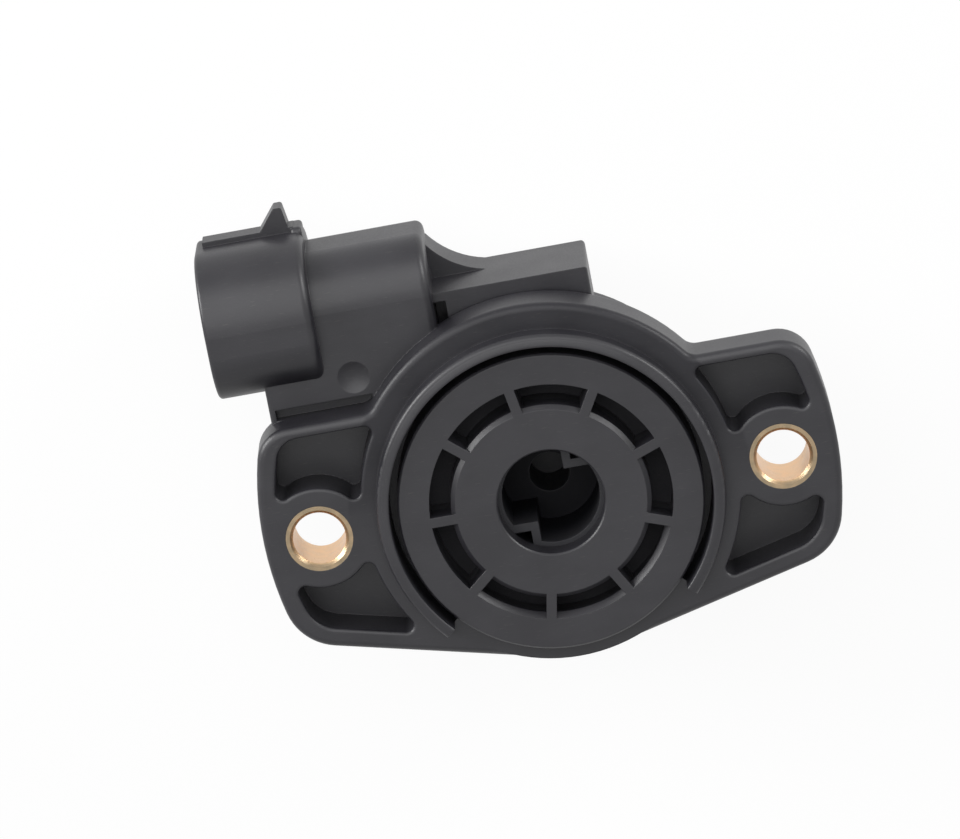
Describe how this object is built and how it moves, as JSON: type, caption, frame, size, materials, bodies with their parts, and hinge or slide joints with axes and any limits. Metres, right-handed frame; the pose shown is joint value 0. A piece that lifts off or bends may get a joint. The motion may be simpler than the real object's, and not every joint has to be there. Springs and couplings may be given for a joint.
{
  "type": "throttle position sensor",
  "caption": "Rotary throttle position sensor: eared mounting flange with screw bushings, slotted boss face round a sprung drive rotor, and a side connector shroud with blade terminals.",
  "frame": {"origin": "on the rotor axis, in the plane of the flange face that bolts to the throttle body", "axes": "+X along the line of the two screw holes, +Y towards the connector, +Z out of the flange face towards the throttle body"},
  "size_m": [0.0588, 0.0474, 0.0219],
  "materials": {
    "housing_plastic": "moulded, fine matt grain",
    "bushing_brass": "turned, bright",
    "rotor_plastic": "moulded, smooth",
    "seal_rubber": "smooth",
    "spring_steel": "drawn wire",
    "contact_metal": "stamped",
    "board_laminate": "pressed laminate",
    "carbon_print": "printed",
    "silver_print": "printed",
    "terminal_tin": "tinned, stamped",
    "cover_plastic": "moulded, fine matt grain"
  },
  "bodies": {
    "sensor_body": {"housing": "housing_plastic", "left_bushing": "bushing_brass", "right_bushing": "bushing_brass", "rotor_seal": "seal_rubber", "return_spring": "spring_steel", "track_board": "board_laminate", "resistive_track": "carbon_print", "conductor_traces": "silver_print", "supply_terminal": "terminal_tin", "signal_terminal": "terminal_tin", "ground_terminal": "terminal_tin", "terminal_rivets": "contact_metal", "rear_cover": "cover_plastic"},
    "rotor_body": {"rotor": "rotor_plastic", "wiper": "contact_metal"}
  },
  "joints": [
    {"name": "rotor_turn", "type": "hinge", "parent": "sensor_body", "child": "rotor_body", "pos_m": [0, 0, 0], "axis": [0, 0, 1], "range_deg": [0, 105], "stiffness_Nm_per_rad": 0.006, "springref_deg": -57.3, "deforming": ["return_spring"]}
  ]
}
